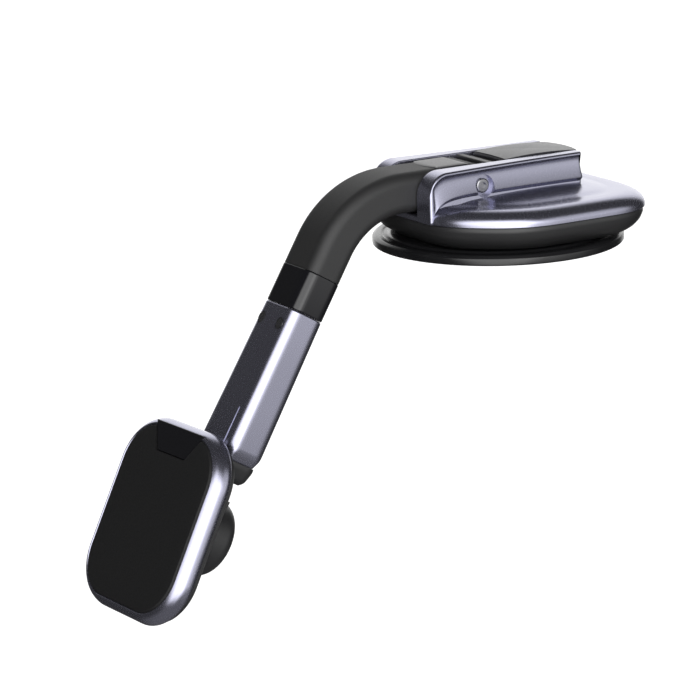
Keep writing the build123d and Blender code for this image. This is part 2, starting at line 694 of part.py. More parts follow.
# Tray that carries the magnets and the screw bosses.
with BuildPart() as tray:
    with BuildSketch(head_plane(1.95)):
        add(plate_outline(PAD_MARGIN + 0.05))
    extrude(amount=2.9)
    with BuildSketch(head_plane(1.9)):
        Circle(4.7)
    extrude(amount=1.5, mode=Mode.SUBTRACT)
    with BuildSketch(head_plane(2.3)):
        with Locations(*MAGNETS):
            Circle(5.55)
    extrude(amount=5, mode=Mode.SUBTRACT)
    with BuildSketch(head_plane(1.9)):
        with Locations(*HEAD_SCREWS):
            Circle(1.05)
    extrude(amount=5, mode=Mode.SUBTRACT)
tray.part.label = "magnet_tray"
export_step(tray.part, "parts/magnet_tray.step")

with BuildPart() as magnets:
    with BuildSketch(head_plane(2.32)):
        with Locations(*MAGNETS):
            Circle(5.5)
    extrude(amount=2.5)
magnets.part.label = "magnets"
export_step(magnets.part, "parts/magnets.step")

with BuildPart() as yoke:
    with BuildSketch(head_plane(4.87)):
        RectangleRounded(36, 42, 8)
    extrude(amount=0.7)
yoke.part.label = "steel_yoke"
export_step(yoke.part, "parts/steel_yoke.step")

with BuildPart() as head_screws:
    with BuildSketch(head_plane(0.4)):
        with Locations(*HEAD_SCREWS):
            Circle(2.0)
    extrude(amount=1.5)
    with BuildSketch(head_plane(1.8)):
        with Locations(*HEAD_SCREWS):
            Circle(1.0)
    extrude(amount=3.0)
head_screws.part.label = "head_screws"
export_step(head_screws.part, "parts/head_screws.step")

TAB = [(-12.6, 25.5), (12.6, 25.5), (7.2, 17.8), (-7.2, 17.8)]

# Soft face that the phone rests on, with a notch at its top for the gloss tab.
with BuildPart() as pad:
    with BuildSketch(head_plane(5.6)):
        add(plate_outline(PAD_MARGIN + 0.05))
    extrude(amount=HEAD_DEEP - 5.6)
    with BuildSketch(head_plane(5.5)):
        with BuildLine():
            Polyline(*TAB, close=True)
        make_face()
    extrude(amount=5, mode=Mode.SUBTRACT)
pad.part.label = "face_pad"
export_step(pad.part, "parts/face_pad.step")

with BuildPart() as tab:
    with BuildSketch(head_plane(5.6)):
        with BuildLine():
            Polyline(*TAB, close=True)
        make_face()
        offset(amount=-0.05, mode=Mode.REPLACE)
    extrude(amount=HEAD_DEEP - 5.9)
    with BuildSketch(head_plane(5)):
        add(plate_outline(PAD_MARGIN + 0.05))
    extrude(amount=5, mode=Mode.INTERSECT)
tab.part.label = "tab"
export_step(tab.part, "parts/tab.step")
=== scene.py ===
# %% [markdown]
# A car phone mount. It has a suction base with a lock lever, a bent neck, a metal tube with a rod
# inside, and a square head on a ball joint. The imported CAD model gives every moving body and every
# hidden part. This lesson gives the parts that show a finer skin, and gives all of them a finish.

import json

import bpy
import numpy as np
from mathutils import Matrix, Vector


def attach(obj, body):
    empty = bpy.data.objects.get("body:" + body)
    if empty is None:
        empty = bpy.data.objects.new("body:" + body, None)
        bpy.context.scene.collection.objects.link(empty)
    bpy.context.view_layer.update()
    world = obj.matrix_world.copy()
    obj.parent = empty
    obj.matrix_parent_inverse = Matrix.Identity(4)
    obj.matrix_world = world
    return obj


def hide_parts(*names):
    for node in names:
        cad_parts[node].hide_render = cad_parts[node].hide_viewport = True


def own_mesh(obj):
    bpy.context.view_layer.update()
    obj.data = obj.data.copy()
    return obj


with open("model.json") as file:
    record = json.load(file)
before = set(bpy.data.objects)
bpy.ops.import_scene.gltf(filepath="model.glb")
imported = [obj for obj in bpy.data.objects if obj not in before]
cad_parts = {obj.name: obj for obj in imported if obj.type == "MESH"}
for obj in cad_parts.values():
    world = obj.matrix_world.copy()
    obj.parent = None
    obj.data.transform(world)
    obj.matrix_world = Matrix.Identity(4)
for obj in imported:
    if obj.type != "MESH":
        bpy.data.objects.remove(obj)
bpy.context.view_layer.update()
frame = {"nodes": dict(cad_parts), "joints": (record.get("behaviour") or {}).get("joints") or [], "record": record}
joints = {joint["name"]: joint for joint in frame["joints"]}
slots = {part["node"]: part["material_slot"] for part in frame["record"]["subparts"]}

# %% [markdown]
# Every new piece is a stack of rings, each ring a closed line of points. Shapes are worked out in
# millimetres as numpy arrays and turned into metres once, where the mesh is made. The ends of a
# stack are closed with a fan, or the last ring is joined to the first, which gives a hoop.

# %% Rings to mesh
MM = 0.001


def skin(name, rings, hoop=False):
    """Mesh over rings[i, j], point j of ring i: each four neighbours make a face.

    An open stack gets a point at the mean of each end ring, joined to it by triangles. The volume is
    the sum of a . (b x c) / 6 over the triangles, and if it is negative every face is turned over.
    """
    count, around = rings.shape[:2]
    here = np.arange(count if hoop else count - 1)[:, None]
    side = np.arange(around)[None, :]
    ahead = (here + 1) % count
    beside = (side + 1) % around
    quads = np.stack([here * around + side, here * around + beside, ahead * around + beside,
                      ahead * around + side], axis=-1).reshape(-1, 4)
    points = rings.reshape(-1, 3)
    tris = np.zeros((0, 3), int)
    if not hoop:
        low, high = len(points), len(points) + 1
        points = np.vstack([points, rings[0].mean(0), rings[-1].mean(0)])
        j, k = np.arange(around), (np.arange(around) + 1) % around
        last = (count - 1) * around
        tris = np.vstack([np.stack([np.full(around, low), k, j], 1),
                          np.stack([np.full(around, high), last + j, last + k], 1)])
    soup = np.vstack([quads[:, :3], quads[:, [0, 2, 3]], tris])
    a, b, c = points[soup[:, 0]], points[soup[:, 1]], points[soup[:, 2]]
    if np.einsum("ij,ij->i", a, np.cross(b, c)).sum() < 0:
        quads, tris = quads[:, ::-1], tris[:, ::-1]
    mesh = bpy.data.meshes.new(name)
    mesh.from_pydata((points * MM).tolist(), [], quads.tolist() + tris.tolist())
    piece = bpy.data.objects.new(name, mesh)
    bpy.context.scene.collection.objects.link(piece)
    smooth(piece)
    return piece


def smooth(piece, angle=32):
    """Soft shading, with a crisp edge wherever two faces meet at more than `angle` degrees."""
    piece.data.shade_smooth()
    piece.data.set_sharp_from_angle(angle=np.radians(angle))


def cut(piece, cutter):
    """Takes the cutter's solid out of the piece and throws the cutter away."""
    knife = piece.modifiers.new("cut", "BOOLEAN")
    knife.operation = "DIFFERENCE"
    knife.solver = "EXACT"
    knife.object = cutter
    bpy.context.view_layer.update()
    result = bpy.data.meshes.new_from_object(piece.evaluated_get(bpy.context.evaluated_depsgraph_get()))
    result.name = piece.name
    piece.modifiers.clear()
    piece.data = result
    bpy.data.objects.remove(cutter)
    smooth(piece)


def settle(piece, body, slot, *nodes):
    """Gives a piece its finish, hides the CAD nodes it stands for, and hangs it on the body it rides on."""
    piece.data.materials.clear()
    piece.data.materials.append(finishes[slot])
    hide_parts(*nodes)
    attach(piece, body)
    print(piece.name, "rides on", body, "with", len(piece.data.polygons), "faces")


# %% [markdown]
# Lines are the other half. A profile is a few corners joined by straight runs, and its corners are
# rounded with short curves. An outline is a closed line with its outward directions, so that it can
# be drawn in by an even margin as a real moulded edge is.

# %% Profiles and outlines
def rounded(corners, radius, steps=5, closed=False):
    """Line through corners, each replaced by the curve (1-t)^2 a + 2t(1-t) c + t^2 b.

    c is the corner, and a and b lie `radius` from it towards its neighbours.
    """
    corners = np.asarray(corners, float)
    radius = np.broadcast_to(np.asarray(radius, float), (len(corners),))[:, None]
    back, on = np.roll(corners, 1, 0) - corners, np.roll(corners, -1, 0) - corners
    a = corners + back / np.linalg.norm(back, axis=1, keepdims=True) * radius
    b = corners + on / np.linalg.norm(on, axis=1, keepdims=True) * radius
    t = np.linspace(0, 1, steps)[None, :, None]
    line = (1 - t) ** 2 * a[:, None] + 2 * t * (1 - t) * corners[:, None] + t ** 2 * b[:, None]
    if closed:
        return line.reshape(-1, corners.shape[1])
    return np.vstack([corners[:1], line[1:-1].reshape(-1, corners.shape[1]), corners[-1:]])


def box_outline(half_x, half_y, corner, arc=14, side=7):
    """(points, outward directions) of a rectangle with quarter-circle corners, anticlockwise."""
    angle = np.linspace(0, np.pi / 2, arc)[None] + np.arange(4)[:, None] * np.pi / 2
    out = np.stack([np.cos(angle), np.sin(angle)], -1)
    middle = np.array([[1, 1], [-1, 1], [-1, -1], [1, -1]]) * [half_x - corner, half_y - corner]
    bend = middle[:, None] + corner * out
    t = np.linspace(0, 1, side + 2)[1:-1][None, :, None]
    run = bend[:, -1:] * (1 - t) + np.roll(bend, -1, 0)[:, :1] * t
    flat = np.broadcast_to(out[:, -1:], run.shape)
    return (np.concatenate([bend, run], 1).reshape(-1, 2), np.concatenate([out, flat], 1).reshape(-1, 2))


def circle_outline(radius, count=128):
    """(points, outward directions) of a circle."""
    angle = np.linspace(0, 2 * np.pi, count, endpoint=False)
    out = np.stack([np.cos(angle), np.sin(angle)], -1)
    return radius * out, out


class Place:
    """A flat place in the frame: an origin and three directions, the third one square to it."""

    def __init__(self, origin, x, y, z):
        self.origin = np.asarray(origin, float)
        self.axes = np.array([x, y, z], float)

    def put(self, local):
        return self.origin + local @ self.axes


def stacked(place, outline, profile, limit=None, reach=None):
    """Rings of an outline at each (height, inset) of a profile.

    Up to `limit` the outline is drawn in evenly, point - inset * direction. Past it the ring shrinks
    towards the middle in proportion, and it is a point when the inset is limit + reach.
    """
    points, out = outline
    height, inset = profile[:, 0], profile[:, 1]
    limit = inset.max() if limit is None else limit
    drawn = points[None] - np.minimum(inset, limit)[:, None, None] * out[None]
    if reach:
        drawn = drawn * np.clip(1 - (inset - limit) / reach, 0.002, 1)[:, None, None]
    up = np.broadcast_to(height[:, None, None], drawn.shape[:2] + (1,))
    return place.put(np.concatenate([drawn, up], -1))


def crown(low, high, rise, steps=10):
    """Profile of a domed face: the height falls from the middle as rise * (inset share squared)."""
    share = np.linspace(1, 0, steps)
    return np.stack([high - rise * share ** 2, low * share], 1)


# %% [markdown]
# The arm and the head stand at angles, so their directions come from the joints that the CAD model
# carries: the rod's slide gives the arm's line, the ring nut's axis its front, and the head's turning
# axis the way that the phone faces.

# %% Places of the arm and the head
arm_dir = np.array(joints["rod_slide"]["axis"])
arm_front = np.array(joints["ring_nut_turn"]["axis"])
ball = np.array(joints["head_turn"]["pos_m"]) / MM
head_out = np.array(joints["head_turn"]["axis"])
head_side = np.array(joints["head_pitch"]["axis"])
BALL_AT = 86.8
HEAD_STANDOFF = 8.05
ground = Place((0, 0, 0), (1, 0, 0), (0, 1, 0), (0, 0, 1))
arm = Place(ball - arm_dir * BALL_AT, (1, 0, 0), arm_front, arm_dir)
socket_place = Place(ball, (1, 0, 0), -arm_dir, arm_front)
head = Place(ball + head_out * HEAD_STANDOFF, head_side, np.cross(head_out, head_side), head_out)
print("arm starts at", arm.origin.round(2), "and the head's back is at", head.origin.round(2))

# %% [markdown]
# Finishes. Each is one Principled shader whose colour, roughness and bump are broken up by noise on
# Object coordinates, which are metres here, so a scale of 3000 gives grains about a third of a
# millimetre across. The metal paint adds fine flakes, and moulded plastic a fine even texture.

# %% Build a finish
def finish(name, colour, roughness, metallic=0.0, grain=2500, depth=0.01, spread=0.06, drift=0.12, **sockets):
    """Principled shader with grain.

    Colour is `colour` times 1 -/+ drift by a slow noise. Roughness is `roughness` -/+ spread by the
    grain's noise. The bump is the same grain, `depth` millimetres high. Other sockets are constants.
    """
    material = bpy.data.materials.new(name)
    material.use_nodes = True
    nodes, links = material.node_tree.nodes, material.node_tree.links
    shader = nodes["Principled BSDF"]
    shader.inputs["Metallic"].default_value = metallic
    for socket, value in sockets.items():
        shader.inputs[socket.replace("_", " ")].default_value = value
    where = nodes.new("ShaderNodeTexCoord")
    slow = nodes.new("ShaderNodeTexNoise")
    slow.inputs["Scale"].default_value = 45
    slow.inputs["Detail"].default_value = 3
    fine = nodes.new("ShaderNodeTexNoise")
    fine.inputs["Scale"].default_value = grain
    fine.inputs["Detail"].default_value = 2
    tint = nodes.new("ShaderNodeMix")
    tint.data_type = "RGBA"
    tint.inputs["A"].default_value = [c * (1 - drift) for c in colour] + [1]
    tint.inputs["B"].default_value = [c * (1 + drift) for c in colour] + [1]
    rough = nodes.new("ShaderNodeMapRange")
    rough.inputs["From Min"].default_value = 0.25
    rough.inputs["From Max"].default_value = 0.75
    rough.inputs["To Min"].default_value = max(0.02, roughness - spread)
    rough.inputs["To Max"].default_value = roughness + spread
    bump = nodes.new("ShaderNodeBump")
    bump.inputs["Strength"].default_value = 0.6
    bump.inputs["Distance"].default_value = depth * MM
    for noise in (slow, fine):
        links.new(where.outputs["Object"], noise.inputs["Vector"])
    links.new(slow.outputs["Fac"], tint.inputs["Factor"])
    links.new(tint.outputs["Result"], shader.inputs["Base Color"])
    links.new(fine.outputs["Fac"], rough.inputs["Value"])
    links.new(rough.outputs["Result"], shader.inputs["Roughness"])
    links.new(fine.outputs["Fac"], bump.inputs["Height"])
    links.new(bump.outputs["Normal"], shader.inputs["Normal"])
    return material


finishes = {
    "gunmetal": finish("gunmetal", (0.37, 0.37, 0.46), 0.25, metallic=0.95, grain=4200, depth=0.003,
                       spread=0.04, drift=0.03),
    "gloss_black": finish("gloss_black", (0.009, 0.009, 0.011), 0.13, grain=1500, depth=0.002, spread=0.03),
    "black_plastic": finish("black_plastic", (0.022, 0.022, 0.023), 0.42, grain=3000, depth=0.012),
    "grey_plastic": finish("grey_plastic", (0.026, 0.026, 0.031), 0.34, grain=2600, depth=0.01),
    "neck_plastic": finish("neck_plastic", (0.021, 0.021, 0.0215), 0.56, grain=3400, depth=0.02),
    "inner_plastic": finish("inner_plastic", (0.10, 0.10, 0.10), 0.45, grain=1800, depth=0.01),
    "fibre": finish("fibre", (0.16, 0.12, 0.08), 0.85, grain=900, depth=0.05, drift=0.3),
    "soft_rubber": finish("soft_rubber", (0.010, 0.010, 0.011), 0.22, grain=1800, depth=0.006, spread=0.05),
    "pad_rubber": finish("pad_rubber", (0.0055, 0.0055, 0.006), 0.68, grain=2200, depth=0.03, spread=0.08),
    "steel": finish("steel", (0.30, 0.30, 0.315), 0.28, metallic=1.0, grain=1200, depth=0.006, spread=0.08),
    "magnet": finish("magnet", (0.62, 0.61, 0.58), 0.18, metallic=1.0, grain=900, depth=0.004, spread=0.05),
}

# %% Give every CAD node its finish
for node, piece in frame["nodes"].items():
    if not piece.material_slots:
        piece.data.materials.append(None)
    for slot in piece.material_slots:
        slot.material = finishes[slots[node]]
print(len(finishes), "finishes on", len(frame["nodes"]), "nodes")

# %% [markdown]
# The suction cup is a soft disc that is turned on a lathe, so it is one profile spun round. Its rim
# has a rounded edge and a shallow step, which is where the gloss shows as two thin bright lines.

# %% Suction cup
cup_profile = rounded(
    [(1.4, 36), (1.2, 22), (0.0, 4.2), (0.0, 0.0), (2.0, 0.0), (2.8, 1.1), (2.85, 2.6), (2.45, 3.2),
     (2.5, 4.4), (3.1, 5.2), (3.2, 21), (5.2, 25), (5.2, 36)], 0.38)
cup = skin("cup", stacked(ground, circle_outline(36, 224), cup_profile, limit=0, reach=36))
settle(cup, "base", "soft_rubber", "suction_cup")
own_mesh(cup)

# %% [markdown]
# The base is not round: its plan is a square with cut corners, evened out until it is one smooth
# line. A running average does that, and keeps the sides straight. The lower shell is a tray under
# the joint line, and the upper shell a low dome over it, both scaled copies of that plan.

# %% Plan of the base
BASE_MIDDLE = np.array([0, 2.0])
PART_LINE = 10.5


def evened(corners, spread, count=360):
    """Closed line through corners, each point the raised-cosine average of its neighbours within `spread`."""
    line = np.vstack([corners, corners[:1]])
    length = np.concatenate([[0], np.cumsum(np.linalg.norm(np.diff(line, axis=0), axis=1))])
    where = np.linspace(0, length[-1], count, endpoint=False)
    even = np.stack([np.interp(where, length, line[:, axis]) for axis in (0, 1)], 1)
    half = int(spread / length[-1] * count)
    weight = 1 + np.cos(np.linspace(-np.pi, np.pi, 2 * half + 1))
    wrapped = np.concatenate([even[-half:], even, even[:half]])
    return np.stack([np.convolve(wrapped[:, axis], weight / weight.sum(), "valid") for axis in (0, 1)], 1)


right_corners = np.array([(19.5, -32.6), (36.2, -14), (36, 26.5), (24, 34.8)])
left_corners = right_corners[::-1] * [-1, 1]
base_plan = evened(np.vstack([right_corners, left_corners]), 18) - BASE_MIDDLE
print("base is", np.ptp(base_plan, axis=0).round(1), "mm")


def base_rings(profile):
    """Ring for each (scale, height): the plan times scale about its middle."""
    flat = BASE_MIDDLE + profile[:, 0, None, None] * base_plan[None]
    up = np.broadcast_to(profile[:, 1, None, None], flat.shape[:2] + (1,))
    return np.concatenate([flat, up], -1)


# %% Lower shell
lower_profile = rounded(
    [(0.44, 3.6), (0.85, 3.6), (0.915, 4.9), (0.968, 7.2), (0.988, 9.3), (0.984, 10.42), (0.93, 10.42),
     (0.80, 5.6), (0.44, 5.6)], [0.1, 0.03, 0.9, 0.9, 0.5, 0.02, 0.02, 0.1, 0.1], closed=True)
lower_shell = skin("lower_shell_skin", base_rings(lower_profile), hoop=True)
settle(lower_shell, "base", "black_plastic", "lower_shell")

# %% Upper shell: the dome
def dome_outside():
    """(scale, height) from the joint line to the middle: a steep bead, its shoulder, then the dome.

    The shoulder is a quarter ellipse. The dome above it is the shoulder's height plus 1.1 (1 - s^2.2),
    where s is the scale over the shoulder's own, less a shallow bell-shaped hollow just inside it.
    """
    corner = np.linspace(0, np.pi / 2, 20)
    bead_scale = 1 - 0.15 * (1 - np.cos(corner))
    bead_height = 11.4 + 3.7 * np.sin(corner)
    scale = np.linspace(0.85, 0.002, 40)[1:]
    height = 15.1 + 1.1 * (1 - (scale / 0.85) ** 2.2) - 0.25 * np.exp(-((scale - 0.74) / 0.06) ** 2)
    return np.stack([np.concatenate([bead_scale, scale]), np.concatenate([bead_height, height])], 1)


outside = dome_outside()
inside = np.stack([np.linspace(0.002, 0.93, 12), np.full(12, 13.2)], 1)
inside = np.vstack([inside, [(0.935, 12.9), (0.94, 10.7)]])
tuck = np.array([(0.984, 10.56), (0.996, 10.62), (1.0, 10.8)])
dome = skin("upper_shell_dome", base_rings(np.vstack([inside, tuck, outside])))
CHANNEL_HALF = 8.7


def block(low, high):
    """Plain box between two corners, used only as a cutter."""
    x, y = (low[0], high[0]), (low[1], high[1])
    ring = np.array([(x[0], y[0]), (x[1], y[0]), (x[1], y[1]), (x[0], y[1])], float)
    levels = [np.column_stack([ring, np.full(4, z)]) for z in (low[2], high[2])]
    return skin("cutter", np.array(levels, float))


cut(dome, block((-CHANNEL_HALF, -40, 12.2), (CHANNEL_HALF, 9.5, 30)))
settle(dome, "base", "gunmetal", "upper_shell")

# %% [markdown]
# The two cheeks hold the arm's axle and hide the lever's sides. Each is a section carried from front
# to back: a straight inner wall, a flat top band that narrows, a rounded edge, and an outer wall that
# is scooped in and ends on a ridge above the dome. The front is a flat face with a rounded top.

# %% Cheeks of the upper shell
FRONT = -32.5
BACK = 21.0
CHEEK_TOP = 24.6
NOSE_LONG = 6.4
NOSE_TALL = 6.8
NOSE_ROUND = 0.95
STERN_ROUND = 0.7
SCOOP = 1.05
WELL_RADIUS = 3.2
SHAFT_HOLE = 1.65


def cheek_rings(side):
    """Sections at each y. The top's height is a quarter ellipse over the nose, then nearly level.

    Outer width is 12.2 + 3.3 s^1.7, where s is the share of the way from the back. Below the flat top
    band the wall is hollowed by `scoop`, runs down, and comes out again to the ridge. The scoop starts
    behind the front face, which leaves a rounded bead along it. Under the ridge the foot is undercut.
    """
    rise = np.linspace(0, np.pi / 2, 40)
    y = np.concatenate([FRONT + NOSE_LONG * (1 - np.cos(rise)),
                        np.linspace(FRONT + NOSE_LONG, BACK - STERN_ROUND, 60)[1:],
                        BACK - STERN_ROUND + STERN_ROUND * np.sin(rise[8::8])])
    along = np.clip((y - FRONT) / NOSE_LONG, 0, 1)
    top = CHEEK_TOP - NOSE_TALL * (1 - np.sqrt(1 - (1 - along) ** 2)) - 0.00009 * np.maximum(y + 14, 0) ** 2
    share = np.clip((BACK - y) / (BACK - FRONT), 0, 1)
    outer = 12.2 + 3.3 * share ** 1.7
    behind = y - FRONT
    nose = NOSE_ROUND * (1 - np.sqrt(1 - (1 - np.clip(behind / NOSE_ROUND, 0, 1)) ** 2))
    tail = np.clip((y - (BACK - STERN_ROUND)) / STERN_ROUND, 0, 1)
    stern = STERN_ROUND * (1 - np.sqrt(1 - tail ** 2))
    ease = np.clip((behind - 1.1) / 1.1, 0, 1)
    scoop = SCOOP * ease * ease * (3 - 2 * ease)
    ridge = 12.3 + 5.5 * (1 - np.exp(-np.maximum(behind - 0.6, 0) / 3.0)) - 0.012 * np.maximum(y + 20, 0)
    ledge = outer + 0.2 + 0.5 * (1 - share)

    def spread(start, stop, steps):
        """Steps from start up to but not including stop, for every section at once."""
        t = np.linspace(0, 1, steps, endpoint=False)
        return start[:, None] * (1 - t) + stop[:, None] * t

    inner_wall = np.full_like(y, CHANNEL_HALF)
    lip = 0.35
    edge = np.minimum(0.75, (top - ridge) * 0.3)
    turn = np.linspace(0, np.pi / 2, 8, endpoint=False)[None]
    wall = np.linspace(0, 1, 40, endpoint=False)[None]
    hollow = np.sin(np.pi * wall ** 0.6) ** 0.9
    drop = (top - edge)[:, None]
    x = np.concatenate([
        spread(inner_wall, inner_wall, 4),
        (inner_wall + lip)[:, None] - lip * np.cos(turn),
        spread(inner_wall + lip, outer - edge, 10),
        (outer - edge)[:, None] + edge[:, None] * np.sin(turn),
        outer[:, None] + (ledge - outer)[:, None] * wall - scoop[:, None] * hollow,
        spread(ledge, ledge - 0.9 * scoop, 8),
        spread(ledge - 0.9 * scoop, outer + 0.6 * scoop, 8),
        spread(outer + 0.6 * scoop, inner_wall, 6)], 1)
    base = np.full_like(y, 10.7)
    step = ridge - 1.1
    z = np.concatenate([
        spread(base, top - lip, 4),
        (top - lip)[:, None] + lip * np.sin(turn),
        spread(top, top, 10),
        drop + edge[:, None] * np.cos(turn),
        drop + (ridge[:, None] - drop) * wall,
        spread(ridge, step, 8),
        spread(step, base, 8),
        spread(base, base, 6)], 1)
    ends = np.clip((x - CHANNEL_HALF - 0.4) / 3, 0, 1)
    x = x - (nose + stern)[:, None] * ends
    return np.stack([side * x, np.broadcast_to(y[:, None], x.shape), z], -1)


AXLE = np.array([-13.0, 19.0])
THROUGH = np.array([(0, 0.0), (12, 0.0)])
for side, hand in ((1, "right"), (-1, "left")):
    cheek = skin("cheek_" + hand, cheek_rings(side))
    well = Place((side * 11.75, AXLE[0], AXLE[1]), (0, side, 0), (0, 0, 1), (side, 0, 0))
    cut(cheek, skin("cutter", stacked(well, circle_outline(WELL_RADIUS, 72), THROUGH)))
    shaft = Place((side * 6.0, AXLE[0], AXLE[1]), (0, side, 0), (0, 0, 1), (side, 0, 0))
    cut(cheek, skin("cutter", stacked(shaft, circle_outline(SHAFT_HOLE, 48), THROUGH)))
    settle(cheek, "base", "gunmetal", "upper_shell")

# %% [markdown]
# The arm turns on a bolt. Its head sits at the bottom of the round well in the right cheek, so only a
# small rounded disc with a six-sided socket shows, with a dark ring of shade round it.

# %% Axle bolt
SHAFT = 1.6
BOLT_HEAD = 2.05
bolt_place = Place((0, AXLE[0], AXLE[1]), (0, 1, 0), (0, 0, 1), (1, 0, 0))
bolt_profile = rounded(
    [(-11.6, BOLT_HEAD), (-11.6, BOLT_HEAD - SHAFT), (11.8, BOLT_HEAD - SHAFT), (11.8, 0.0), (12.4, 0.0),
     (12.6, 0.35), (12.6, BOLT_HEAD)], [0, 0.15, 0.03, 0.03, 0.15, 0.1, 0])
bolt_rings = stacked(bolt_place, circle_outline(BOLT_HEAD, 96), bolt_profile, limit=0, reach=BOLT_HEAD)
bolt = skin("axle_bolt", bolt_rings)
socket_ring = circle_outline(1.15, 6)[0]
socket_levels = np.stack([np.column_stack([socket_ring, np.full(6, level)]) for level in (11.9, 14.0)])
cut(bolt, skin("cutter", bolt_place.put(socket_levels)))
settle(bolt, "base", "steel", "pivot_bolt")

# %% [markdown]
# The lever lies flat in the channel. Its cover is a crowned plate with soft edges, and only its top
# is seen. In front of it a narrow lip is the edge that a finger finds.

# %% Lever cover
COVER_MIDDLE = 10.0
COVER_HALF_Y = 12.8
lever_place = Place((0, COVER_MIDDLE, 0), (1, 0, 0), (0, 1, 0), (0, 0, 1))
cover_profile = np.vstack([rounded([(23.44, 12), (23.44, 0.0), (23.9, 0.0), (24.25, 0.5)], 0.15),
                           crown(7.5, 24.5, 0.2, 14)[::-1] + [0, 0.5]])
cover_outline = box_outline(8.45, COVER_HALF_Y, 0.7, side=24)
cover_rings = stacked(lever_place, cover_outline, cover_profile, limit=0.9, reach=7.2)
cover_x, cover_y = cover_rings[..., 0], cover_rings[..., 1]
cover_rings[..., 1] += np.where(
    cover_y > COVER_MIDDLE, (1.1 - 0.0215 * cover_x ** 2) * (cover_y - COVER_MIDDLE) / COVER_HALF_Y, 0)
arch = 0.85 * (1 - ((cover_y - 9) / 15) ** 2) - 0.003 * cover_x ** 2
cover_rings[..., 2] += np.where(cover_rings[..., 2] > 23.7, arch - 0.15, 0)
cover = skin("cover_plate", cover_rings)
settle(cover, "lever", "grey_plastic", "lever_cover")

# %% [markdown]
# The neck is a rounded bar carried along a path: level from the axle, round a bend, then straight
# down to the collar. At the axle its height follows a circle, so it can turn in the channel.

# %% Neck
BEND_MIDDLE = np.array([-35.1, -7.65])
BEND_RADIUS = 26.25
BEND_TURN = np.radians(59)
NECK_HALF_X = 8.3
NECK_HALF_H = 5.75
neck_level = BEND_MIDDLE[1] + BEND_RADIUS
eye = np.linspace(0.08, np.pi / 2, 12)
path_eye = np.stack([AXLE[0] + NECK_HALF_H * np.cos(eye), np.full(12, neck_level)], 1)
path_level = np.stack([np.linspace(AXLE[0], BEND_MIDDLE[0], 8)[1:-1], np.full(6, neck_level)], 1)
sweep = np.linspace(0, BEND_TURN, 40)
path_bend = BEND_MIDDLE + BEND_RADIUS * np.stack([-np.sin(sweep), np.cos(sweep)], 1)
path_down = path_bend[-1] + np.linspace(0, 8.45, 4)[1:, None] * arm_dir[1:]
path = np.vstack([path_eye, path_level, path_bend, path_down])
lean = np.concatenate([np.zeros(18), sweep, np.full(3, BEND_TURN)])
tall = np.concatenate([NECK_HALF_H * np.sin(eye), np.full(49, NECK_HALF_H)])
points, _ = box_outline(NECK_HALF_X, NECK_HALF_H, 3.3, arc=16)
upright = points[:, 1][None] * (tall / NECK_HALF_H)[:, None]
across = np.broadcast_to(points[:, 0], upright.shape)
neck_rings = np.stack([across, path[:, 0, None] - np.sin(lean)[:, None] * upright,
                       path[:, 1, None] + np.cos(lean)[:, None] * upright], -1)
neck = skin("neck_bar", neck_rings)
bore = Place((-12, AXLE[0], AXLE[1]), (0, 1, 0), (0, 0, 1), (1, 0, 0))
cut(neck, skin("cutter", stacked(bore, circle_outline(SHAFT_HOLE, 48), np.array([(0, 0.0), (24, 0.0)]))))
settle(neck, "arm", "neck_plastic", "neck")

# %% [markdown]
# A light flat insert sits on the neck behind the bend. Its front edge is drawn in at the middle, so it
# follows the neck's own curve there.

# %% Neck cap
CAP_MIDDLE = -19.6
cap_place = Place((0, CAP_MIDDLE, neck_level + NECK_HALF_H - 1.1), (1, 0, 0), (0, 1, 0), (0, 0, 1))
cap_profile = np.vstack([rounded([(0, 6), (0, 0.0), (1.05, 0.0), (1.25, 0.35)], 0.12),
                         [(1.32, 2.0), (1.34, 5.5)]])
cap_rings = stacked(cap_place, box_outline(6.6, 6.0, 1.2), cap_profile, limit=1.0, reach=5.0)
front_half = cap_rings[..., 1] < CAP_MIDDLE
drawn_in = 0.035 * cap_rings[..., 0] ** 2 * (CAP_MIDDLE - cap_rings[..., 1]) / 6.0
cap_rings[..., 1] += np.where(front_half, drawn_in, 0)
cap = skin("cap_insert", cap_rings)
settle(cap, "arm", "grey_plastic", "neck_cap")

# %% [markdown]
# The collar and the tube are hoops: a closed profile of (distance along the arm, inset) carried round
# a rounded rectangle. The tube grows a little towards its end, so its rings are widened with distance.

# %% Collar
ARM_HALF_X, ARM_HALF_H, ARM_CORNER = 8.42, 5.82, 3.3
arm_outline = box_outline(ARM_HALF_X, ARM_HALF_H, ARM_CORNER, arc=18)
collar_profile = rounded([(8.55, 0.15), (8.85, 0.0), (19.6, 0.0), (19.93, 0.2), (19.93, 1.6), (8.55, 1.6)],
                         [0.1, 0.12, 0.15, 0.12, 0.1, 0.1], closed=True)
collar = skin("collar_band", stacked(arm, arm_outline, collar_profile), hoop=True)
settle(collar, "arm", "gloss_black", "collar")

# %% Tube
COLLAR_END = 20.0
TUBE_END = 64.4
TUBE_GROWTH = np.array([0.70, 0.40])
tube_profile = rounded(
    [(COLLAR_END + 0.02, 0.30), (COLLAR_END + 0.35, 0.0), (34.0, 0.0), (48.0, 0.0), (61.6, 0.0), (64.0, 1.0),
     (TUBE_END, 1.15), (TUBE_END, 1.5), (20.02, 1.4)],
    [0.1, 0.15, 1, 1, 1.2, 0.3, 0.1, 0.1, 0.1], steps=7, closed=True)
tube_rings = stacked(ground, arm_outline, tube_profile)
along = (tube_rings[..., 2:] - COLLAR_END) / (TUBE_END - COLLAR_END)
section = tube_rings[..., :2].copy()
tube_rings[..., :2] += np.sign(section) * TUBE_GROWTH * along * np.minimum(np.abs(section), 3) / 3
tube = skin("tube_shell", arm.put(tube_rings), hoop=True)

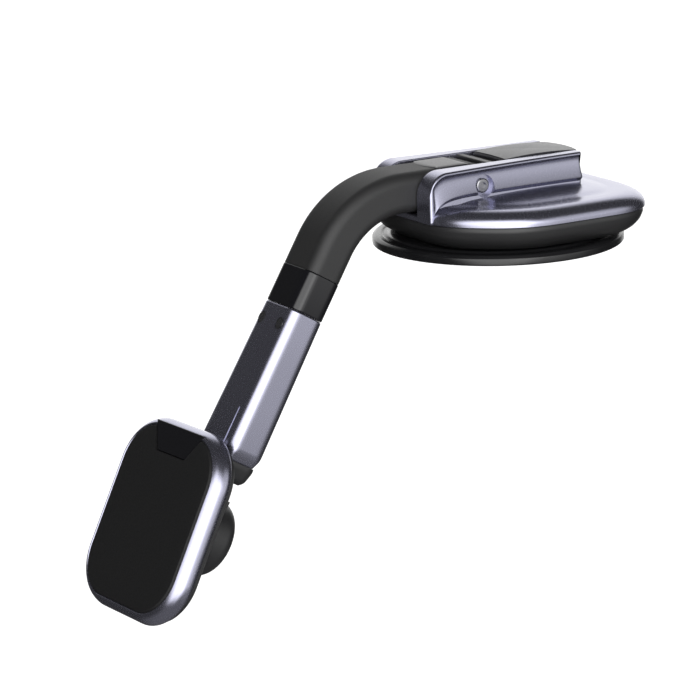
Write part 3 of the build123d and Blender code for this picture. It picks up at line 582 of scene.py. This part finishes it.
# %% [markdown]
# Near its mouth the tube has a low flat on its front, and the flat's edge catches the light as one
# thin line. It is left standing by taking a thin step off either side. Two small holes take screws.

# %% Flat and screw holes on the tube
FLAT_HALF = 4.7
PAST_SIDE = 11
SCREW_SIDE, SCREW_AT = 4.8, 25.0
FLAT_START, FLAT_STOP = 50.0, 62.5
STEP_FLOOR = 5.97
step_place = Place(arm.put(np.array([0, STEP_FLOOR, 0])), (1, 0, 0), arm_dir, -arm_front)
step_ring = rounded([(PAST_SIDE, FLAT_STOP), (FLAT_HALF, FLAT_STOP), (FLAT_HALF, FLAT_START),
                     (PAST_SIDE, FLAT_START)], 0.5, closed=True)
for side in (-1, 1):
    step_levels = np.stack([np.column_stack([step_ring * [side, 1], np.full(len(step_ring), level)])
                            for level in (0.0, -6.0)])
    cut(tube, skin("cutter", step_place.put(step_levels)))
for side in (-1, 1):
    hole = Place(arm.put(np.array([side * SCREW_SIDE, 5.3, SCREW_AT])), (1, 0, 0), -arm_dir, arm_front)
    cut(tube, skin("cutter", stacked(hole, circle_outline(1.8, 40), np.array([(0, 0.0), (4, 0.0)]))))
settle(tube, "arm", "gunmetal", "tube")

# %% [markdown]
# The tube's mouth is plugged by a black bush with a rounded nose. It is a hoop too, because the
# sliding rod runs through it.

# %% Bush
bush_outline = box_outline(8.65, 5.7, 3.2, arc=16)
bush_profile = rounded(
    [(58, 1.65), (64.43, 1.65), (64.43, 0.05), (65.6, 0.0), (69.0, 0.9), (70.1, 2.2), (70.1, 2.8), (58, 2.8)],
    [0.1, 0.1, 0.1, 0.6, 0.9, 0.2, 0.1, 0.1], steps=6, closed=True)
bush = skin("bush_end", stacked(arm, bush_outline, bush_profile), hoop=True)
settle(bush, "arm", "black_plastic", "tube_bush")

# %% [markdown]
# Behind the head, a drum holds the ball and a ring nut clamps it. Both are turned shapes, and the
# nut's rim carries ribs: its radius drops by a share of a cosine that repeats round the rim.

# %% Ring nut
NUT_RADIUS = 10.4
RIBS = 32
nut_profile = rounded(
    [(-0.45, 0.15), (-0.15, 0.0), (3.2, 0.0), (4.55, 1.5), (4.55, 5.2), (3.1, 4.75), (2.3, 4.3), (2.3, 1.65),
     (-0.45, 1.65)], 0.14, closed=True)
nut_rings = stacked(socket_place, circle_outline(NUT_RADIUS, 384), nut_profile)
spin = np.linspace(0, 2 * np.pi, 384, endpoint=False)
outer_part = np.clip(1 - nut_profile[:, 1] / 1.2, 0, 1)[:, None]
groove = 0.42 * outer_part * (0.5 + 0.5 * np.cos(RIBS * spin)[None]) ** 2
radial = nut_rings - socket_place.origin
radial = radial - (radial @ arm_front)[..., None] * arm_front
nut_rings = nut_rings - groove[..., None] * radial / np.linalg.norm(radial, axis=-1, keepdims=True)
nut = skin("ribbed_nut", nut_rings, hoop=True)
settle(nut, "nut", "black_plastic", "ring_nut")

# %% [markdown]
# The head is a thick plate. A bright metal rim runs round it, crowned so that it catches the light in
# bands, with a thin lip behind. The soft pad is set into it, and a gloss tab fills a notch in the pad.

# %% Head rim
HEAD_HALF_X, HEAD_HALF_Y, HEAD_CORNER = 23.9, 27.4, 14.6
head_outline = box_outline(HEAD_HALF_X, HEAD_HALF_Y, HEAD_CORNER, arc=40, side=14)
rim_profile = rounded(
    [(1.97, 2.7), (1.97, 1.3), (2.3, 0.55), (3.4, 0.0), (5.2, 0.25), (6.9, 1.2), (7.75, 2.35), (7.4, 2.7)],
    [0.1, 0.2, 0.4, 0.7, 0.8, 0.7, 0.25, 0.1], steps=7, closed=True)
rim = skin("rim_band", stacked(head, head_outline, rim_profile), hoop=True)
settle(rim, "head", "gunmetal", "head_rim")

# %% Pad and tab
PAD_MARGIN = 2.75
pad_outline = box_outline(HEAD_HALF_X - PAD_MARGIN, HEAD_HALF_Y - PAD_MARGIN, HEAD_CORNER - PAD_MARGIN,
                          arc=36, side=30)
pad_profile = np.vstack([rounded([(5.62, 20), (5.62, 0.0), (7.4, 0.0), (7.85, 0.5)], 0.15),
                         [(8.0, 1.6), (8.06, 3.5), (8.09, 8), (8.1, 18.0)]])
pad = skin("pad_face", stacked(head, pad_outline, pad_profile, limit=1.0, reach=19.5))
TAB = np.array([(-12.6, 26.5), (-7.2, 17.8), (7.2, 17.8), (12.6, 26.5)])
tab_ring = rounded(TAB, [0.4, 1.0, 1.0, 0.4], steps=7, closed=True)
notch = np.stack([np.column_stack([tab_ring, np.full(len(tab_ring), level)]) for level in (5.9, 12.0)])
cut(pad, skin("cutter", head.put(notch)))
settle(pad, "head", "pad_rubber", "face_pad")

tab_small = rounded([(-12.2, 26.0), (-7.05, 17.95), (7.05, 17.95), (12.2, 26.0)],
                    [0.4, 0.9, 0.9, 0.4], steps=7, closed=True)
tab_middle = np.array([0, 21.5])
tab_levels = np.array([(5.95, 0.98), (7.55, 0.98), (7.7, 0.955), (7.74, 0.6), (7.75, 0.01)])
tab_flat = tab_middle + (tab_small - tab_middle)[None] * tab_levels[:, 1, None, None]
tab_up = np.broadcast_to(tab_levels[:, 0, None, None], tab_flat.shape[:2] + (1,))
tab = skin("tab_gloss", head.put(np.concatenate([tab_flat, tab_up], -1)))
settle(tab, "head", "gloss_black", "tab")

# %% [markdown]
# The stage is a wide pale floor well below the mount, so that it stays even. The light is a plain
# studio: a large soft light beside the camera, smaller ones on the right, a bright wall behind the
# mount, and dim air elsewhere. Each is a soft spot on the world: a direction, the angles where it is
# full and where it has faded out, and its strength. The step between the two angles is smooth.

# %% Floor
floor_ring = 9000 * np.array([(-1, -1), (1, -1), (1, 1), (-1, 1)], float)
floor = skin("floor", np.array([np.column_stack([floor_ring, np.full(4, z)]) for z in (-420.0, -400.0)]))
floor_paint = bpy.data.materials.new("floor_paint")
floor_paint.use_nodes = True
paint = floor_paint.node_tree.nodes["Principled BSDF"]
paint.inputs["Base Color"].default_value = (0.8, 0.8, 0.8, 1)
paint.inputs["Roughness"].default_value = 0.9
paint.inputs["Emission Color"].default_value = (1, 1, 1, 1)
paint.inputs["Emission Strength"].default_value = 0.75
floor.data.materials.append(floor_paint)
floor.visible_glossy = False
floor.visible_diffuse = False

# %% Studio light
world = bpy.data.worlds.new("studio")
bpy.context.scene.world = world
world.use_nodes = True
sky, wires = world.node_tree.nodes, world.node_tree.links
looking = sky.new("ShaderNodeTexCoord").outputs["Generated"]
SOFT_SPOTS = (
    ((0.78, -0.50, 0.22), 24, 48, 3.0),
    ((0.93, 0.02, 0.03), 10, 32, 0.85),
    ((0.83, 0.49, 0.16), 12, 34, 0.8),
    ((0.83, 0.49, -0.20), 15, 46, 0.2),
    ((-0.83, 0.50, 0.20), 20, 44, 1.45),
    ((-0.83, -0.45, 0.20), 15, 55, 0.02),
    ((0.15, -0.05, -0.98), 25, 65, 0.15),
)
DIM_AIR = 0.04
total = DIM_AIR
for direction, inner, outer, strength in SOFT_SPOTS:
    toward = Vector(direction).normalized()
    dot = sky.new("ShaderNodeVectorMath")
    dot.operation = "DOT_PRODUCT"
    dot.inputs[1].default_value = toward
    wires.new(looking, dot.inputs[0])
    fade = sky.new("ShaderNodeMapRange")
    fade.interpolation_type = "SMOOTHSTEP"
    fade.inputs["From Min"].default_value = float(np.cos(np.radians(outer)))
    fade.inputs["From Max"].default_value = float(np.cos(np.radians(inner)))
    fade.inputs["To Min"].default_value = 0
    fade.inputs["To Max"].default_value = strength
    wires.new(dot.outputs["Value"], fade.inputs["Value"])
    add = sky.new("ShaderNodeMath")
    add.operation = "ADD"
    if isinstance(total, float):
        add.inputs[1].default_value = total
    else:
        wires.new(total, add.inputs[1])
    wires.new(fade.outputs["Result"], add.inputs[0])
    total = add.outputs["Value"]
wires.new(total, sky["Background"].inputs["Color"])
print(len(SOFT_SPOTS), "soft lights")

# %% [markdown]
# The camera stands about 0.86 m away, a little above the mount and beside its front, with a long lens.
# Its three directions are given, right, up and back, and they make its turning matrix.

# %% Camera
lens = bpy.data.cameras.new("camera")
lens.lens = 154.29
lens.sensor_width = 36
camera = bpy.data.objects.new("camera", lens)
right = (0.51593, 0.85616, -0.02824)
upward = (-0.19796, 0.15123, 0.96847)
backward = (0.83344, -0.49408, 0.24751)
turned = Matrix((right, upward, backward)).transposed().to_4x4()
camera.matrix_world = Matrix.Translation((0.700107, -0.465313, 0.182823)) @ turned
bpy.context.scene.collection.objects.link(camera)
bpy.context.scene.camera = camera
bpy.context.scene.view_settings.view_transform = "Standard"
